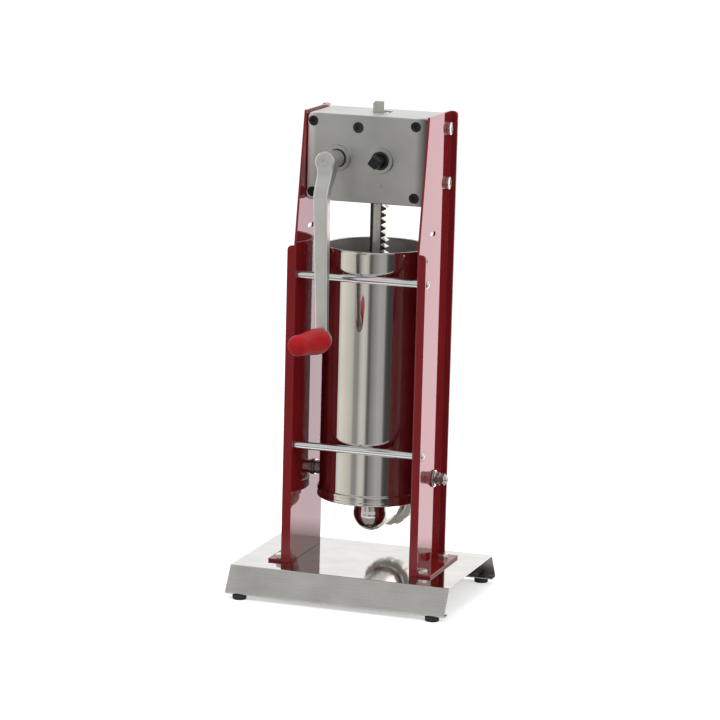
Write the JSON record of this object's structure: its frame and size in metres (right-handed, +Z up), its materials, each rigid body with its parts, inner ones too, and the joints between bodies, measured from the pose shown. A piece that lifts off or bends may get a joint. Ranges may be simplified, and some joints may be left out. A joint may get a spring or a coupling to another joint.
{
  "type": "sausage stuffer",
  "caption": "Upright hand-cranked sausage stuffer: a rack and gearbox press a piston down a steel cylinder with a bottom outlet, in a folded frame on a base.",
  "frame": {"origin": "middle of the bounding box's bottom, on the floor under the feet", "axes": "+X to the right seen from the crank, +Y from the crank towards the outlet, +Z up"},
  "size_m": [0.3, 0.3288, 0.6471],
  "materials": {
    "black_plastic": "black moulded plastic",
    "black_steel": "black oxide steel",
    "casting": "satin grey casting",
    "chrome": "bright chrome plate",
    "crank_casting": "satin nickel-plated casting",
    "polished": "mirror-polished stainless steel",
    "red_paint": "deep red gloss enamel",
    "red_plastic": "bright red gloss plastic",
    "rubber": "black rubber",
    "silicone": "pale silicone rubber",
    "stainless": "brushed stainless sheet",
    "steel": "bare machined steel",
    "zinc": "bright zinc plate"
  },
  "bodies": {
    "stand": {"base_plate": "stainless", "cover_screw_bottom_left": "black_steel", "cover_screw_bottom_right": "black_steel", "cover_screw_top_left": "black_steel", "cover_screw_top_right": "black_steel", "cylinder": "polished", "fast_shaft_bushing": "black_plastic", "foot_front_left": "rubber", "foot_front_right": "rubber", "foot_rear_left": "rubber", "foot_rear_right": "rubber", "frame_bolt_front_left": "zinc", "frame_bolt_front_right": "zinc", "frame_bolt_rear_left": "zinc", "frame_bolt_rear_right": "zinc", "frame_nut_front_left": "zinc", "frame_nut_front_right": "zinc", "frame_nut_rear_left": "zinc", "frame_nut_rear_right": "zinc", "gear_grease_plug": "black_plastic", "gearbox_bolt_lower_left": "zinc", "gearbox_bolt_lower_right": "zinc", "gearbox_bolt_upper_left": "zinc", "gearbox_bolt_upper_right": "zinc", "gearbox_cover": "casting", "gearbox_housing": "casting", "left_side_frame": "red_paint", "lower_rod_cap_nut_left": "chrome", "lower_rod_cap_nut_right": "chrome", "lower_tie_rod": "chrome", "outlet_elbow": "polished", "pivot_cap_nut_left": "chrome", "pivot_cap_nut_right": "chrome", "pivot_inner_washer_left": "chrome", "pivot_inner_washer_right": "chrome", "pivot_lock_nut_left": "zinc", "pivot_lock_nut_right": "zinc", "pivot_outer_washer_left": "chrome", "pivot_outer_washer_right": "chrome", "pivot_stud_left": "steel", "pivot_stud_right": "steel", "right_side_frame": "red_paint", "slow_shaft_bushing": "black_plastic", "upper_rod_cap_nut_left": "chrome", "upper_rod_cap_nut_right": "chrome", "upper_tie_rod": "chrome"},
    "rack_and_piston": {"rack": "chrome", "piston_disc": "polished", "piston_seal": "silicone", "piston_nut": "zinc"},
    "air_valve": {"piston_air_valve": "red_plastic"},
    "fast_shaft": {"fast_pinion_shaft": "black_steel", "drive_gear": "steel"},
    "slow_shaft": {"slow_pinion_shaft": "black_steel"},
    "crank": {"crank_arm": "crank_casting", "grip_spindle": "steel"},
    "grip": {"crank_grip": "red_plastic"},
    "ring_nut": {"outlet_ring_nut": "polished"}
  },
  "joints": [
    {"name": "rack_slide", "type": "slide", "parent": "stand", "child": "rack_and_piston", "axis": [0, 0, 1], "range_m": [0, 0.345]},
    {"name": "valve_lift", "type": "slide", "parent": "rack_and_piston", "child": "air_valve", "axis": [0, 0, 1], "range_m": [0, 0.0025]},
    {"name": "fast_spin", "type": "hinge", "parent": "stand", "child": "fast_shaft", "pos_m": [0.01956, 0.0451, 0.5765], "axis": [0, 1, 0], "range_deg": [-5, 2059]},
    {"name": "slow_spin", "type": "hinge", "parent": "stand", "child": "slow_shaft", "pos_m": [-0.03844, 0.0451, 0.5765], "axis": [0, 1, 0], "range_deg": [-7878, 5]},
    {"name": "crank_pull", "type": "slide", "parent": "slow_shaft", "child": "crank", "axis": [0, -1, 0], "range_m": [0, 0.026]},
    {"name": "grip_spin", "type": "hinge", "parent": "crank", "child": "grip", "pos_m": [-0.0246, -0.07255, 0.35343], "axis": [-0.0054, -0.9962, 0.087], "continuous": true},
    {"name": "ring_nut_spin", "type": "hinge", "parent": "stand", "child": "ring_nut", "pos_m": [0, 0.1476, 0.099], "axis": [0, 1, 0], "continuous": true}
  ],
  "couplings": [
    {"joint": "fast_spin", "follows": "rack_slide", "rad_per_m": 103.9},
    {"joint": "slow_spin", "follows": "rack_slide", "rad_per_m": -398.27}
  ]
}
